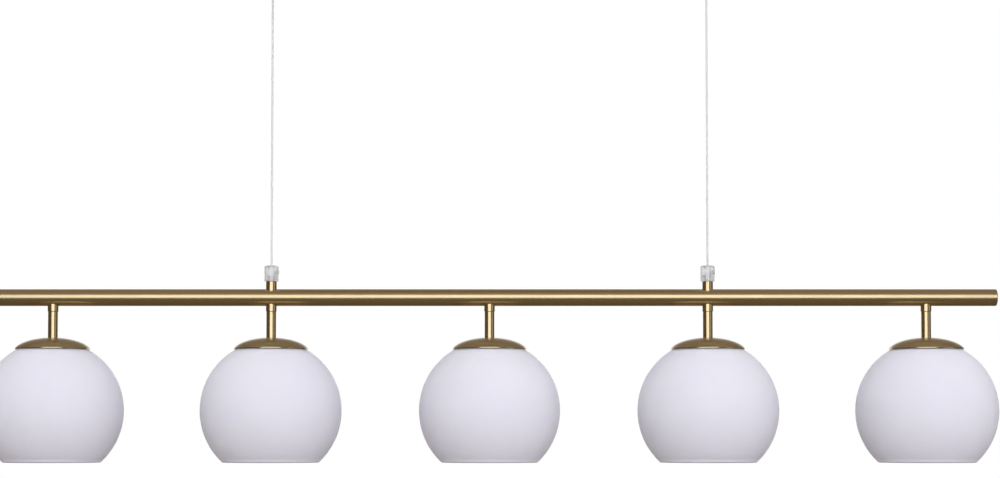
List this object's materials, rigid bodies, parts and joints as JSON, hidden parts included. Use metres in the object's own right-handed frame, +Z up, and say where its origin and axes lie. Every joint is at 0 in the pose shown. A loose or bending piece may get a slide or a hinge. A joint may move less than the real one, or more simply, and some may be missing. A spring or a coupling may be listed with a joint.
{
  "type": "ceiling lamp",
  "caption": "Linear pendant lamp: a brass bar on thin clear cables carries a row of opal glass globes on short stems with spun caps, under a long ceiling canopy.",
  "frame": {"origin": "middle of the ceiling face, on the top of the bracket strip", "axes": "+X along the bar to the right of the picture, +Y away from the camera, +Z up"},
  "size_m": [1.08, 0.15, 0.548],
  "materials": {
    "brass_satin": "satin, brushed, lacquered",
    "opal_glass": "opal white, matt outside",
    "clear_plastic": "clear, glossy",
    "zinc_steel": "zinc plated",
    "holder_plastic": "white, fine matt",
    "contact_brass": "bright rolled sheet"
  },
  "bodies": {
    "ceiling_fitting": {"ceiling_bracket": "zinc_steel", "canopy_cover": "brass_satin", "canopy_screws": "brass_satin", "ceiling_grip_left": "clear_plastic", "ceiling_grip_right": "clear_plastic", "ceiling_grip_screws": "clear_plastic", "ceiling_nipples": "zinc_steel", "ceiling_nuts": "zinc_steel", "terminal_block": "holder_plastic"},
    "cables": {"cable_left": "clear_plastic", "cable_right": "clear_plastic"},
    "bar": {"bar_tube": "brass_satin", "end_plug_left": "brass_satin", "end_plug_right": "brass_satin", "hanger_stub_left": "brass_satin", "hanger_stub_right": "brass_satin", "bar_grip_left": "clear_plastic", "bar_grip_right": "clear_plastic", "bar_grip_screws": "clear_plastic", "collar_1": "brass_satin", "collar_2": "brass_satin", "collar_3": "brass_satin", "collar_4": "brass_satin", "collar_5": "brass_satin", "stem_1": "brass_satin", "stem_2": "brass_satin", "stem_3": "brass_satin", "stem_4": "brass_satin", "stem_5": "brass_satin", "cap_1": "brass_satin", "cap_2": "brass_satin", "cap_3": "brass_satin", "cap_4": "brass_satin", "cap_5": "brass_satin", "shade_1": "opal_glass", "shade_2": "opal_glass", "shade_3": "opal_glass", "shade_4": "opal_glass", "shade_5": "opal_glass", "lampholder_1": "holder_plastic", "lampholder_2": "holder_plastic", "lampholder_3": "holder_plastic", "lampholder_4": "holder_plastic", "lampholder_5": "holder_plastic", "shade_ring_1": "holder_plastic", "shade_ring_2": "holder_plastic", "shade_ring_3": "holder_plastic", "shade_ring_4": "holder_plastic", "shade_ring_5": "holder_plastic", "screw_shell_1": "contact_brass", "screw_shell_2": "contact_brass", "screw_shell_3": "contact_brass", "screw_shell_4": "contact_brass", "screw_shell_5": "contact_brass", "stem_nipples": "zinc_steel", "holder_nipples": "zinc_steel", "centre_contacts": "contact_brass"}
  },
  "joints": [
    {"name": "lamp_swing", "type": "hinge", "parent": "ceiling_fitting", "child": "cables", "pos_m": [0, 0, -0.03865], "axis": [1, 0, 0], "range_deg": [-25, 25]},
    {"name": "height_adjust", "type": "slide", "parent": "cables", "child": "bar", "axis": [0, 0, 1], "range_m": [0, 0.15], "deforming": ["cable_left", "cable_right"]}
  ]
}
